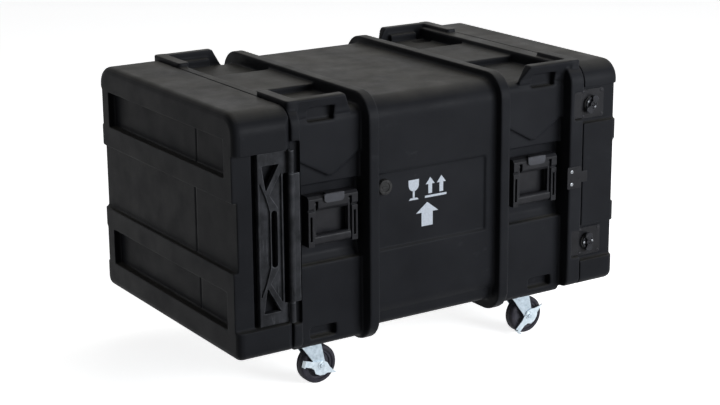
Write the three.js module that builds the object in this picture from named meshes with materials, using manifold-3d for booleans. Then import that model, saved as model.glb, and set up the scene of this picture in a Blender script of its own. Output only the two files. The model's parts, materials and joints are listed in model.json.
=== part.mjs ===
// Shock-mounted equipment rack case: a roto-moulded body with two end lids, four casters and a floating rack frame.
// Millimetres, +Z up, floor at Z 0. +X runs along the rack to the rear lid, and the side with the label faces -Y.
import * as THREE from 'three';
import { mergeVertices } from 'three/addons/utils/BufferGeometryUtils.js';
import Module from 'manifold-3d';

const wasm = await Module();
wasm.setup();

// overall sizes
const caseLength = 1016;
const caseWidth = 644;
const caseHeight = 530;
const casterHeight = 109;
const frontLidDepth = 133;
const rearLidDepth = 101;
const seamGap = 1.2;
const wall = 6;
const fitGap = 0.3;

// the moulded body
const cornerRadius = 45;
const footRadius = 22;
const bossDrop = 16;
const bayInset = 30;
const bayTopDrop = 27;
const platformDrop = 11;
const platformHalf = 97;
const centreInset = 20;
const centreTopDrop = 14;
const centreBottomRise = 16;
const centrePlatformDrop = 15;
const frontBand = 22;
const rearBand = 38;
const hoopWidth = 26;
const hoopPositions = [-169, 182];
const hoopRise = 3;
const hoopDrop = 26;
const hoopRadius = 60;
const flangeDepth = 42;
const gasketSection = [3.6, 5];
const gasketInset = 36;

// stacking pads on the top corners
const padRise = 10;
const padOuterInset = 16;
const padThickness = 24;
const padReach = 130;
const padRun = 142;
const padSeamWidth = 28;
const padSlope = 22;

// side recesses, with heights above the case bottom
const handleBays = [{ name: 'front', centre: -261, pocketShift: -22 }, { name: 'rear', centre: 284, pocketShift: 26 }];
const handleRecess = { low: 173, high: 349, depth: 22, slope: 18 };
const veeNotch = { tip: 365, shoulder: 411, depth: 7, tipHalf: 7 };
const pockets = { width: 66, upper: [485, 517], lower: [6, 32], upperDepth: 18, lowerDepth: 20, housing: 5 };
const labelPanel = { from: -152, to: 142, low: 178, high: 351, depth: 5 };
const lowerPanel = { high: 176, depth: 2 };

// the lids, with heights above the case bottom
const lidRound = 14;
const lidPanels = [{ low: 62, high: 144, depth: 17, border: 48 }, { low: 192, high: 343, depth: 11, border: 0 },
  { low: 391, high: 473, depth: 17, border: 48 }];
const lidSideInset = 15;
const lidGroove = { at: 125, width: 5, depth: 4 };
const hingeZone = { low: 64, high: 443, strip: 86, depth: 30 };
const latchZones = [[60, 146], [391, 477]];
const latchPocketDepth = 32;

// hinge bars, leaves and their pins
const hingeAxisInset = 4;
const hingeBarrelRadius = 6.5;
const hingePinRadius = 3;
const hingeBar = { near: 15, far: 75, low: 66, high: 441, face: 10, thickness: 13 };
const hingeEar = [[66, 110], [392, 441]];
const hingeLeafWidth = 19;
const hingeChamfer = [12, 9];

// twist latches
const latchCentre = 26;
const latchHeights = [103, 434];
const latchBase = { width: 66, height: 68, thickness: 3 };
const latchBossRadius = 17;
const latchShaftRadius = 6;
const latchWing = { length: 46, width: 9, height: 9 };
const latchHookReach = 27;
const keeperWidth = 24;
const keeperHalf = 31;

// folding handles
const handle = { width: 124, low: 215, high: 326, front: 10, back: 5.5, topBlock: 34, cheek: 15 };
const bailPivotHeight = 306;
const bailArm = 6;
const bailGrip = { low: 217, high: 239, thickness: 16 };
const bailGap = 1;
const bailPinRadius = 3;

// pressure valve
const valve = { x: -130, z: 320, radius: 18, height: 9, stem: 7 };

// casters
const casterPositions = [-290, 290];
const casterInset = 100;
const casterTrail = 28;
const casterPlate = { length: 95, width: 64, thickness: 3 };
const raceRadius = 21;
const raceHeight = 9;
const wheelRadius = 44.5;
const wheelWidth = 30;
const forkThickness = 3;
const forkGap = 2.5;
const axleRadius = 5;
const leverLength = 98;
const leverWidth = 17;
const leverThickness = 2.5;

// rack frame, rails and shock mounts
const rackUnit = 44.45;
const rackUnits = 8;
const rackOpening = 450;
const holeSpacing = 465.1;
const holeSize = 9.5;
const frameLength = 712;
const frameCentre = 16;
const postSize = 22;
const frameHalfWidth = 250;
const frameRise = 20;
const railThickness = 2.5;
const shockMount = { radius: 19, waist: 13, spread: 300, side: 225, plate: 3 };

// levels and planes worked out from the sizes above
const caseBottom = casterHeight + bossDrop;
const caseTop = caseBottom + caseHeight;
const bayTop = caseTop - bayTopDrop;
const halfWidth = caseWidth / 2;
const bayFace = halfWidth - bayInset;
const centreFace = halfWidth - centreInset;
const frontSeam = -caseLength / 2 + frontLidDepth;
const rearSeam = caseLength / 2 - rearLidDepth;
const bodyFront = frontSeam + seamGap;
const bodyBack = rearSeam - seamGap;
const padTop = caseTop + padRise;
const hingeAxisX = seamGap / 2;
const hingeAxisY = -halfWidth + hingeAxisInset;
const rackHeight = rackUnits * rackUnit;
const rackMiddle = (caseBottom + bayTop) / 2;

// matrices that lay a drawn outline across the case, with its depth along X or along -Y
const alongX = new THREE.Matrix4().makeBasis(new THREE.Vector3(0, 1, 0), new THREE.Vector3(0, 0, 1),
  new THREE.Vector3(1, 0, 0));
const alongY = new THREE.Matrix4().makeBasis(new THREE.Vector3(1, 0, 0), new THREE.Vector3(0, 0, 1),
  new THREE.Vector3(0, -1, 0));

function toSolid(geometry) {
  const bare = geometry.index ? geometry.toNonIndexed() : geometry.clone();
  bare.deleteAttribute('normal');
  bare.deleteAttribute('uv');
  const merged = mergeVertices(bare, 1e-4);
  const mesh = new wasm.Mesh({ numProp: 3, vertProperties: new Float32Array(merged.attributes.position.array),
    triVerts: new Uint32Array(merged.index.array) });
  return new wasm.Manifold(mesh);
}

function toGeometry(solid) {
  const mesh = solid.getMesh();
  const geometry = new THREE.BufferGeometry();
  geometry.setAttribute('position', new THREE.BufferAttribute(new Float32Array(mesh.vertProperties), 3));
  geometry.setIndex(new THREE.BufferAttribute(new Uint32Array(mesh.triVerts), 1));
  const flat = geometry.toNonIndexed();
  flat.computeVertexNormals();
  return flat;
}

function union(solids) {
  return solids.reduce((all, next) => all.add(next));
}

function cut(solid, tools) {
  return tools.reduce((rest, tool) => rest.subtract(tool), solid);
}

function block(x0, x1, y0, y1, z0, z1) {
  const geometry = new THREE.BoxGeometry(x1 - x0, y1 - y0, z1 - z0);
  geometry.translate((x0 + x1) / 2, (y0 + y1) / 2, (z0 + z1) / 2);
  return toSolid(geometry);
}

function polygon(points) {
  return new THREE.Shape(points.map(([x, y]) => new THREE.Vector2(x, y)));
}

function roundedRect(x0, x1, y0, y1, radius, lowRadius = radius) {
  const shape = new THREE.Shape();
  shape.absarc(x1 - lowRadius, y0 + lowRadius, lowRadius, -Math.PI / 2, 0);
  shape.absarc(x1 - radius, y1 - radius, radius, 0, Math.PI / 2);
  shape.absarc(x0 + radius, y1 - radius, radius, Math.PI / 2, Math.PI);
  shape.absarc(x0 + lowRadius, y0 + lowRadius, lowRadius, Math.PI, Math.PI * 1.5);
  return shape;
}

function extrude(shape, depth, matrix, offset, curveSegments = 4) {
  const geometry = new THREE.ExtrudeGeometry(shape, { depth, bevelEnabled: false, steps: 1, curveSegments });
  geometry.applyMatrix4(matrix);
  geometry.translate(...offset);
  return toSolid(geometry);
}

function extrudeX(shape, x0, x1, curveSegments) {
  return extrude(shape, x1 - x0, alongX, [x0, 0, 0], curveSegments);
}

function extrudeY(shape, y0, y1, curveSegments) {
  return extrude(shape, y1 - y0, alongY, [0, y1, 0], curveSegments);
}

function extrudeZ(shape, z0, z1, curveSegments) {
  return extrude(shape, z1 - z0, new THREE.Matrix4(), [0, 0, z0], curveSegments);
}

function rod(axis, radius, from, to, at, sides = 14) {
  const geometry = new THREE.CylinderGeometry(radius, radius, to - from, sides);
  const middle = (from + to) / 2;
  if (axis === 'x') {
    geometry.rotateZ(Math.PI / 2);
    geometry.translate(middle, at[0], at[1]);
  } else if (axis === 'y') {
    geometry.translate(at[0], middle, at[1]);
  } else {
    geometry.rotateX(Math.PI / 2);
    geometry.translate(at[0], at[1], middle);
  }
  return toSolid(geometry);
}

// a tunnel section across the case, drawn in Y and Z
function tunnel(half, low, high, radius, inset, lowRadius = radius) {
  return roundedRect(-half + inset, half - inset, low + inset, high - inset, Math.max(radius - inset, 4),
    Math.max(lowRadius - inset, 4));
}

// the section of the lids and of the body's end bands
function endSection(inset) {
  return tunnel(halfWidth, caseBottom, caseTop, cornerRadius, inset, footRadius);
}

function bothSides(solid) {
  return solid.add(solid.mirror([0, 1, 0]));
}

function bayRange(bay) {
  return bay.name === 'front' ? [bodyFront + frontBand, hoopPositions[0] - hoopWidth / 2]
    : [hoopPositions[1] + hoopWidth / 2, bodyBack - rearBand];
}

// the outer form of the body, or its inner form when inset by the wall
function bodyForm(inset) {
  const ends = inset ? [bodyFront + wall, bodyBack - wall] : [bodyFront, bodyBack];
  const steps = inset ? 2 : 5;
  const parts = [extrudeX(tunnel(bayFace, caseBottom, bayTop, cornerRadius / 2, inset), ...ends, steps)];
  for (const x of hoopPositions) {
    const shape = tunnel(halfWidth, caseBottom - hoopDrop, caseTop + hoopRise, hoopRadius, inset);
    parts.push(extrudeX(shape, x - hoopWidth / 2 + inset, x + hoopWidth / 2 - inset, steps));
  }
  const centre = [hoopPositions[0], hoopPositions[1]];
  const middle = tunnel(centreFace, caseBottom + centreBottomRise, caseTop - centreTopDrop, cornerRadius, inset);
  parts.push(extrudeX(middle, ...centre, steps));
  parts.push(block(...centre, -platformHalf + inset, platformHalf - inset, rackMiddle,
    caseTop - centrePlatformDrop - inset));
  for (const bay of handleBays) {
    const [from, to] = bayRange(bay);
    parts.push(block(from - inset, to + inset, -platformHalf + inset, platformHalf - inset, rackMiddle,
      caseTop - platformDrop - inset));
  }
  return cut(union(parts), sideRecesses(inset));
}

// recesses of the side walls, grown by the inset so that the wall follows them
function sideRecesses(grow) {
  const tools = [];
  for (const bay of handleBays) {
    const [from, to] = bayRange(bay).map((x, i) => x + (i ? grow : -grow));
    const floor = bayFace - handleRecess.depth - grow;
    const low = caseBottom + handleRecess.low - grow;
    const high = caseBottom + handleRecess.high + grow;
    const outer = halfWidth + 1;
    const outline = polygon([[floor, low + handleRecess.slope], [floor + handleRecess.slope / 2, low], [outer, low],
      [outer, high], [floor, high]]);
    tools.push(bothSides(extrudeX(outline, from, to)));
    tools.push(bothSides(extrudeY(veeOutline(bay, from, to), bayFace - veeNotch.depth - grow, halfWidth + 1)));
    for (const [levels, depth] of [[pockets.upper, pockets.upperDepth], [pockets.lower, pockets.lowerDepth]]) {
      const middle = bay.centre + bay.pocketShift;
      const half = pockets.width / 2 + grow;
      tools.push(bothSides(block(middle - half, middle + half, bayFace - depth - grow, halfWidth + 1,
        caseBottom + levels[0] - grow, caseBottom + levels[1] + grow)));
    }
  }
  tools.push(bothSides(block(labelPanel.from - grow, labelPanel.to + grow, centreFace - labelPanel.depth - grow,
    halfWidth - wall, caseBottom + labelPanel.low - grow, caseBottom + labelPanel.high + grow)));
  return tools;
}

// the step under the vee-shaped edge of a bay's upper panel
function veeOutline(bay, from, to) {
  const shoulder = caseBottom + veeNotch.shoulder;
  const tip = caseBottom + veeNotch.tip;
  const low = caseBottom + handleRecess.high - 2;
  return polygon([[from, low], [to, low], [to, shoulder], [bay.centre + veeNotch.tipHalf, tip],
    [bay.centre - veeNotch.tipHalf, tip], [from, shoulder]]);
}

// an L-shaped stacking pad over the corner of a bay, for the front bay on the +Y side
function stackingPad() {
  const outer = halfWidth - padOuterInset;
  const inner = outer - padThickness;
  const low = bayTop - wall;
  const cheek = polygon([[inner, low], [bayFace, low], [bayFace, bayTop + 6], [outer, padTop - 4],
    [outer - 4, padTop], [inner, padTop]]);
  const leg = extrudeX(cheek, bodyFront + 2, bodyFront + padRun + padSlope);
  const end = bodyFront + padRun;
  const wedge = extrudeY(polygon([[end, padTop + 1], [end + padSlope, bayTop], [end + padSlope + 40, bayTop],
    [end + padSlope + 40, padTop + 1]]), inner - 1, halfWidth + 1);
  const seamLeg = extrudeZ(roundedRect(bodyFront, bodyFront + padSeamWidth, outer - padReach, outer, 8),
    low, padTop, 4);
  return leg.subtract(wedge).add(seamLeg);
}

// closes a bay's upper pocket where it stands above the roof
function pocketHousing(bay) {
  const middle = bay.centre + bay.pocketShift;
  const reach = pockets.width / 2 + pockets.housing;
  return block(middle - reach, middle + reach, bayFace - pockets.upperDepth - pockets.housing, bayFace,
    bayTop - wall, caseBottom + pockets.upper[1] + pockets.housing);
}

function stackingPads() {
  const front = bothSides(stackingPad());
  const rear = front.mirror([1, 0, 0]).translate([bodyFront + bodyBack, 0, 0]);
  return front.add(rear);
}

// cuts in one end of the body for the hinge leaf, the keepers and the gasket, in that end's own frame
function endCuts() {
  const outer = halfWidth + 1;
  const leafFloor = -halfWidth + hingeAxisInset + hingeBarrelRadius + 2.5;
  const tools = [block(0, frontBand, -outer, leafFloor, caseBottom + hingeZone.low - 4,
    caseBottom + hingeZone.high + 16)];
  for (const height of latchHeights) {
    tools.push(block(0, keeperWidth + 2.5, halfWidth - lidSideInset - 5, outer, caseBottom + height - keeperHalf - 1,
      caseBottom + height + keeperHalf + 1));
  }
  const half = gasketSection[1] / 2;
  const depth = gasketSection[0] + 2 * fitGap;
  const groove = extrudeX(endSection(gasketInset - half - fitGap), 0, depth, 3)
    .subtract(extrudeX(endSection(gasketInset + half + fitGap), -1, depth + 1, 3));
  tools.push(groove);
  return union(tools);
}

function atFront(solid) {
  return solid.translate([frontSeam, 0, 0]);
}

function atRear(solid) {
  return solid.rotate([0, 0, 180]).translate([rearSeam, 0, 0]);
}

function bodyShell() {
  const bands = [[bodyFront, bodyFront + frontBand], [bodyBack - rearBand, bodyBack]];
  const band = endSection(0);
  const solid = [bodyForm(0), stackingPads(), ...bands.map(([from, to]) => extrudeX(band, from, to))];
  for (const bay of handleBays) {
    solid.push(extrudeX(roundedRect(-bayFace, bayFace, casterHeight, rackMiddle, 20), ...bayRange(bay)));
    solid.push(bothSides(pocketHousing(bay)));
  }
  const outside = cut(union(solid), sideRecesses(0).concat(padPockets()));
  const mouth = endSection(flangeDepth);
  const openings = [extrudeX(mouth, bodyFront - 1, bodyFront + wall + 1, 3),
    extrudeX(mouth, bodyBack - wall - 1, bodyBack + 1, 3)];
  return cut(outside, [bodyForm(wall), ...openings, atFront(endCuts()), atRear(endCuts()), valveBore(),
    ...drainSlots()]);
}

// shallow pockets under the pads' inner corners
function padPockets() {
  const x0 = bodyFront + padSeamWidth + 8;
  return [[x0, x0 + 46], [bodyFront + bodyBack - x0 - 46, bodyFront + bodyBack - x0]]
    .map(([from, to]) => bothSides(block(from, to, 230, 262, bayTop - 4, bayTop + 1)));
}

function valveBore() {
  return rod('y', valve.stem + fitGap, -halfWidth, -centreFace + labelPanel.depth + wall + 2, [valve.x,
    caseBottom + valve.z], 16);
}

// drain slots through the hoops' undersides
function drainSlots() {
  return hoopPositions.map((x) => block(x - 4, x + 4, -40, 40, caseBottom - hoopDrop - 1,
    caseBottom - hoopDrop + wall + 1));
}

// a lid in its end's own frame: the seam is at X 0, the outer face at -depth and the hinge side at -Y
function lidForm(depth, inset) {
  const shape = endSection(inset);
  const geometry = new THREE.ExtrudeGeometry(shape, { depth, bevelEnabled: true, bevelSegments: inset ? 1 : 3,
    bevelSize: lidRound, bevelThickness: lidRound, bevelOffset: -lidRound, steps: 1, curveSegments: inset ? 2 : 5 });
  geometry.applyMatrix4(alongX);
  geometry.translate(-depth + lidRound + inset, 0, 0);
  const tools = [block(0, depth + 60, -caseWidth, caseWidth, 0, caseTop + 60)];
  return cut(toSolid(geometry), tools.concat(lidRecesses(depth, inset)));
}

function lidRecesses(depth, grow) {
  const tools = [];
  const outer = halfWidth + 1;
  for (const panel of lidPanels) {
    const half = panel.border ? halfWidth - panel.border + grow : outer;
    tools.push(block(-depth - 1, -depth + panel.depth + grow, -half, half, caseBottom + panel.low - grow,
      caseBottom + panel.high + grow));
  }
  const [low, high] = [caseBottom + hingeZone.low - grow, caseBottom + hingeZone.high + grow];
  tools.push(block(-depth - 1, 1, -outer, -halfWidth + lidSideInset + grow, low, high));
  tools.push(block(-hingeZone.strip - grow, 1, -outer, -halfWidth + hingeZone.depth + grow, low, high));
  for (const [from, to] of latchZones) {
    const levels = [caseBottom + from - grow, caseBottom + to + grow];
    tools.push(block(-depth - 1, 1, halfWidth - lidSideInset - grow, outer, ...levels));
    const middle = caseBottom + (from + to) / 2;
    const pocketHalf = latchHookReach + 2 + grow;
    tools.push(block(-latchCentre - pocketHalf, 1, halfWidth - latchPocketDepth - grow, outer, middle - pocketHalf,
      middle + pocketHalf));
  }
  return tools;
}

function lidShell(depth) {
  const flange = 12;
  const inner = lidForm(depth, wall).intersect(block(-depth, -flange, -halfWidth, halfWidth, 0, caseTop));
  const opening = extrudeX(endSection(flangeDepth), -flange - 1, 1);
  const chamfer = extrudeZ(polygon([[1, -halfWidth - 1],
    [-hingeChamfer[0], -halfWidth - 1], [1, -halfWidth + hingeChamfer[1]]]), 0, caseTop + 1);
  const groove = block(-depth - 1, -depth + lidPanels[0].depth + lidGroove.depth, -lidGroove.at - lidGroove.width / 2,
    -lidGroove.at + lidGroove.width / 2, caseBottom + lidPanels[0].low, caseBottom + lidPanels[2].high);
  const ribs = [[0, lidPanels[0].low], [lidPanels[0].high, lidPanels[1].low], [lidPanels[1].high, lidPanels[2].low]]
    .map(([low, high]) => block(-depth - 2, 0, -halfWidth, halfWidth, caseBottom + low, caseBottom + high));
  return cut(lidForm(depth, 0), [inner, opening, chamfer, cut(groove, ribs)]);
}

function gasketRing() {
  const half = gasketSection[1] / 2;
  const from = fitGap;
  const to = from + gasketSection[0];
  return extrudeX(endSection(gasketInset - half), from, to, 3)
    .subtract(extrudeX(endSection(gasketInset + half), from - 1, to + 1, 3));
}

// the barrel that turns on the hinge pin, as a rod with a bore
function barrel(low, high) {
  return rod('z', hingeBarrelRadius, low, high, [hingeAxisX, hingeAxisY], 16);
}

function trussBar() {
  const face = -halfWidth + hingeBar.face;
  const back = face + hingeBar.thickness;
  const [low, high] = [caseBottom + hingeBar.low, caseBottom + hingeBar.high];
  const middle = (low + high) / 2;
  const plate = block(-hingeBar.far, -hingeBar.near, face, back, low, high);
  const ears = hingeEar.map(([from, to]) => block(-hingeBar.near - 1, hingeAxisX, face, face + 4, caseBottom + from,
    caseBottom + to).add(barrel(caseBottom + from, caseBottom + to)));
  const solid = union([plate, ...ears]);
  const slot = roundedRect(-44, -30, middle - 62, middle + 62, 6.9);
  const tools = [extrudeY(slot, face - 1, back + 1, 4)];
  for (const side of [-1, 1]) {
    const corner = polygon([[-65, middle + side * 160], [-24, middle + side * 160], [-56, middle + side * 104]]);
    tools.push(extrudeY(corner, face - 1, back + 1));
    const nearRelief = polygon([[-19, middle + side * 142], [-19, middle], [-27, middle], [-27, middle + side * 66],
      [-47, middle + side * 96]]);
    tools.push(extrudeY(nearRelief, face - 1, face + 5));
    const farRelief = polygon([[-71, middle + side * 128], [-56, middle + side * 92], [-47, middle + side * 62],
      [-47, middle], [-71, middle]]);
    tools.push(extrudeY(farRelief, face - 1, face + 5));
  }
  tools.push(rod('z', hingePinRadius + 0.4, low - 1, high + 1, [hingeAxisX, hingeAxisY], 12));
  return cut(solid, tools);
}

function hingeLeaf() {
  const [low, high] = [caseBottom + hingeEar[0][1] + 1, caseBottom + hingeEar[1][0] - 1];
  const back = -halfWidth + hingeAxisInset + hingeBarrelRadius + 2.5 - fitGap;
  const plate = block(hingeAxisX + 1, hingeLeafWidth + seamGap, -halfWidth + 1, back, low, high)
    .subtract(rod('z', hingeBarrelRadius - 1, low - 1, high + 1, [hingeAxisX, hingeAxisY], 16));
  const pin = rod('z', hingePinRadius, caseBottom + hingeEar[0][0] + 4, caseBottom + hingeEar[1][1] - 4,
    [hingeAxisX, hingeAxisY], 12);
  return union([plate, barrel(low, high), pin]);
}

function latchBasePlate(height) {
  const outer = halfWidth - lidSideInset + fitGap;
  const z = caseBottom + height;
  const plate = extrudeY(roundedRect(-latchBase.width - 1, -1, z - latchBase.height / 2, z + latchBase.height / 2, 5),
    outer, outer + latchBase.thickness, 3);
  const boss = rod('y', latchBossRadius, outer + 1, outer + 7, [-latchCentre, z], 18);
  const bore = rod('y', latchShaftRadius + fitGap, outer - 1, outer + 9, [-latchCentre, z], 16);
  return plate.add(boss).subtract(bore);
}

function latchRotor(height) {
  const outer = halfWidth - lidSideInset + fitGap;
  const z = caseBottom + height;
  const x = -latchCentre;
  const top = outer + 7 + fitGap;
  const shaft = rod('y', latchShaftRadius, outer - 9, top + 1, [x, z], 16);
  const disc = rod('y', latchBossRadius - 2, top, top + 3, [x, z], 18);
  const wing = block(x - latchWing.width / 2, x + latchWing.width / 2, top + 2, top + latchWing.height,
    z - latchWing.length / 2, z + latchWing.length / 2);
  const hook = new THREE.Shape();
  hook.absarc(x, z, latchHookReach, -Math.PI / 3, Math.PI / 3);
  hook.lineTo(x - 5, z + 4);
  hook.lineTo(x - 5, z - 4);
  return union([shaft, disc, wing, extrudeY(hook, outer - 9, outer - 5, 10)]);
}

function latchKeeper(height) {
  const floor = halfWidth - lidSideInset - 5 + fitGap;
  const z = caseBottom + height;
  const x0 = seamGap + 1;
  const foot = block(x0 + 8, x0 + keeperWidth, floor, floor + 3, z - keeperHalf, z + keeperHalf);
  const wallPlate = block(x0 + 8, x0 + 11, floor, floor + 11, z - keeperHalf, z + keeperHalf);
  const cover = block(x0 - 2, x0 + keeperWidth, floor + 8, floor + 11, z - keeperHalf, z + keeperHalf);
  return union([foot, wallPlate, cover]);
}

// the guide on the latch side that holds the lid's edge at mid height
function lidGuide() {
  const z = caseBottom + 267;
  const face = halfWidth + fitGap;
  const plate = extrudeY(roundedRect(seamGap + 4, 46, z - 26, z + 26, 4), face, face + 2.5, 3);
  const tongue = block(-12, seamGap + 10, face, face + 2.5, z - 13, z + 13);
  return plate.add(tongue);
}

function handlePlate() {
  const half = handle.width / 2;
  const floor = bayInset + handleRecess.depth - fitGap;
  const [low, high] = [caseBottom + handle.low, caseBottom + handle.high];
  const split = high - handle.topBlock;
  const front = handle.front + bayInset - 20;
  const pivot = caseBottom + bailPivotHeight;
  const back = block(-half, half, floor - handle.back, floor, low, high);
  const topBlock = extrudeX(polygon([[front + 6, high], [front, high - 6], [front, split + 8], [front + 7, split],
    [floor - 1, split], [floor - 1, high]]), -half, half);
  const tab = block(-19, 19, front - 3, front + 12, high - 9, high + 4);
  const cheeks = [-1, 1].map((side) => block(Math.min(side * half, side * (half - handle.cheek)),
    Math.max(side * half, side * (half - handle.cheek)), front + 1, floor - 1, low, split + 1));
  const solid = union([back, topBlock, tab, ...cheeks]);
  const tools = [];
  const armAt = half - handle.cheek - 1 - bailArm - bailGap;
  for (const side of [-1, 1]) {
    const slot = side * (half - handle.cheek / 2);
    tools.push(block(slot - 2.5, slot + 2.5, front - 1, front + 14, low + 12, split - 10));
    const edges = [side * (armAt - bailGap), side * (half - handle.cheek - 0.5)].sort((a, b) => a - b);
    tools.push(block(...edges, front - 8, floor - handle.back - 1, split - 2, pivot + 9));
  }
  tools.push(rod('x', bailPinRadius + 0.4, -half + 6, half - 6, [front + 12, pivot], 8));
  return cut(solid, tools).translate([0, -halfWidth, 0]);
}

function handleBail() {
  const half = handle.width / 2;
  const front = handle.front + bayInset - 20;
  const pivot = caseBottom + bailPivotHeight;
  const armAt = half - handle.cheek - 1 - bailArm;
  const grip = extrudeX(roundedRect(front + 3, front + 3 + bailGrip.thickness, caseBottom + bailGrip.low,
    caseBottom + bailGrip.high, 7), -armAt - bailArm, armAt + bailArm, 3);
  const arms = [-1, 1].map((side) => {
    const edges = [side * armAt, side * (armAt + bailArm)].sort((a, b) => a - b);
    const strap = block(...edges, front + 6, front + 17, caseBottom + bailGrip.high - 8, pivot);
    const eye = rod('x', 7, ...edges, [front + 12, pivot], 12);
    return strap.add(eye);
  });
  const pins = [-1, 1].map((side) => {
    const ends = [side * (armAt + 1), side * (half - 6 - fitGap)].sort((a, b) => a - b);
    return rod('x', bailPinRadius, ...ends, [front + 12, pivot], 8);
  });
  return union([grip, ...arms, ...pins]).translate([0, -halfWidth, 0]);
}

function valveKnob() {
  const floor = -centreFace + labelPanel.depth - fitGap;
  const at = [valve.x, caseBottom + valve.z];
  const knob = rod('y', valve.radius, floor - valve.height, floor, at, 24);
  const stem = rod('y', valve.stem, floor - 1, floor + wall + 4, at, 12);
  return knob.add(stem);
}

// caster pieces in the frame of one caster: its swivel axis is at X 0 and Y 0
function casterTopPlate() {
  const top = casterHeight - fitGap;
  const { length, width, thickness } = casterPlate;
  const plate = extrudeZ(roundedRect(-length / 2, length / 2, -width / 2, width / 2, 8), top - thickness, top, 3);
  const race = rod('z', raceRadius, top - thickness - raceHeight, top - thickness + 1, [0, 0], 16);
  return plate.add(race);
}

function casterFork() {
  const top = casterHeight - 2 * fitGap - casterPlate.thickness - raceHeight;
  const crown = rod('z', raceRadius + 4, top - 3, top, [0, 0], 18);
  const inner = wheelWidth / 2 + forkGap;
  const bridge = block(-20, 30, -inner - forkThickness, inner + forkThickness, top - forkThickness, top);
  const leg = polygon([[-20, top], [30, top], [casterTrail + 12, wheelRadius + 4], [casterTrail + 8, wheelRadius - 9],
    [casterTrail - 8, wheelRadius - 9], [casterTrail - 14, wheelRadius + 4]]);
  const legs = bothSides(extrudeY(leg, inner, inner + forkThickness));
  const axle = rod('y', axleRadius, -inner - forkThickness - 7, inner + forkThickness + 3,
    [casterTrail, wheelRadius], 16);
  return union([crown, bridge, legs, axle]);
}

function casterWheel() {
  const half = wheelWidth / 2;
  const bore = axleRadius + 0.4;
  const profile = [[bore, -half], [16, -half], [18, -half + 3], [34, -half + 3], [37, -half],
    [wheelRadius, -half + 7], [wheelRadius, half - 7], [37, half], [34, half - 3], [18, half - 3], [16, half],
    [bore, half], [bore, -half]].map(([r, h]) => new THREE.Vector2(r, h));
  const geometry = new THREE.LatheGeometry(profile, 24);
  geometry.translate(casterTrail, 0, 0);
  return toSolid(geometry).translate([0, 0, wheelRadius]);
}

// the flat brake lever on the outer side of the fork, sloping the way that side says
function brakeLever(slope) {
  const inner = wheelWidth / 2 + forkGap + forkThickness + fitGap;
  const bar = roundedRect(-leverLength * 0.45, leverLength * 0.55, -leverWidth / 2, leverWidth / 2, 5);
  const flat = extrudeY(bar, -inner - leverThickness, -inner, 3);
  const hub = rod('y', axleRadius + 5, -inner - leverThickness - 2, -inner, [0, 0], 16);
  const pedal = block(leverLength * 0.55 - 13, leverLength * 0.55, -inner - 12, -inner - 1, -leverWidth / 2,
    leverWidth / 2);
  const bore = rod('y', axleRadius + 0.4, -inner - 20, -inner + 1, [0, 0], 16);
  const lever = union([flat, hub, pedal]).subtract(bore);
  return lever.rotate([0, slope, 0]).translate([casterTrail, 0, wheelRadius]);
}

function rackFrame() {
  const half = frameLength / 2;
  const high = rackMiddle + rackHeight / 2 + frameRise;
  const low = rackMiddle - rackHeight / 2 - frameRise;
  const posts = [];
  for (const end of [-1, 1]) {
    const x = [end * half, end * (half - postSize)].sort((a, b) => a - b);
    const y = [frameHalfWidth - postSize, frameHalfWidth];
    posts.push(bothSides(block(...x, ...y, low, high)));
    for (const z of [[low, low + postSize - 3], [high - postSize + 3, high]]) {
      posts.push(block(...x, -frameHalfWidth, frameHalfWidth, ...z));
    }
  }
  for (const z of [[low, low + postSize - 3], [high - postSize + 3, high]]) {
    posts.push(bothSides(block(-half, half, frameHalfWidth - postSize, frameHalfWidth, ...z)));
  }
  return union(posts).translate([frameCentre, 0, 0]);
}

// a rail with the square holes of the 19-inch pattern, three to each unit
function rackRail() {
  const [low, high] = [rackMiddle - rackHeight / 2, rackMiddle + rackHeight / 2];
  const inner = rackOpening / 2;
  const outer = frameHalfWidth - 4;
  const face = block(0, railThickness, inner, outer, low, high);
  const web = block(0, 26, inner, inner + railThickness, low, high);
  const holes = [];
  for (let unit = 0; unit < rackUnits; unit += 1) {
    for (const step of [6.35, 22.225, 38.1]) {
      const z = low + unit * rackUnit + step;
      const y = holeSpacing / 2;
      holes.push(block(-1, railThickness + 1, y - holeSize / 2 + 1.2, y + holeSize / 2 + 1.2, z - holeSize / 2,
        z + holeSize / 2));
    }
  }
  return cut(face.add(web), holes);
}

function shockBlock(length) {
  const { radius, waist, plate } = shockMount;
  const profile = [[0, 0], [radius, 0], [radius, plate], [waist + 2, plate + 3], [waist, length / 2],
    [waist + 2, length - plate - 3], [radius, length - plate], [radius, length], [0, length]];
  const geometry = new THREE.LatheGeometry(profile.map(([r, h]) => new THREE.Vector2(r, h)), 12);
  geometry.rotateX(Math.PI / 2);
  return toSolid(geometry);
}

const colours = {
  moulded: [0x17181b, 0.62, 0], moulding_lid: [0x1a1b1e, 0.6, 0], nylon: [0x2a2b2d, 0.7, 0], handle: [0x101113, 0.5, 0],
  latch: [0x141416, 0.45, 0], zinc: [0xc9d2d8, 0.3, 0.9], tyre: [0x2e2d33, 0.75, 0], steel: [0x24262a, 0.4, 0.6],
  rubber: [0x0c0c0d, 0.85, 0], aluminium: [0x9a9da1, 0.4, 0.8],
};

function addMesh(parent, name, solid, look) {
  const [color, roughness, metalness] = colours[look];
  const material = new THREE.MeshStandardMaterial({ color, roughness, metalness });
  const mesh = new THREE.Mesh(toGeometry(solid), material);
  mesh.name = name;
  parent.add(mesh);
  return mesh;
}

const group = new THREE.Group();
addMesh(group, 'body_shell', bodyShell(), 'moulded');
addMesh(group, 'pressure_valve_knob', valveKnob(), 'latch');

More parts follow.
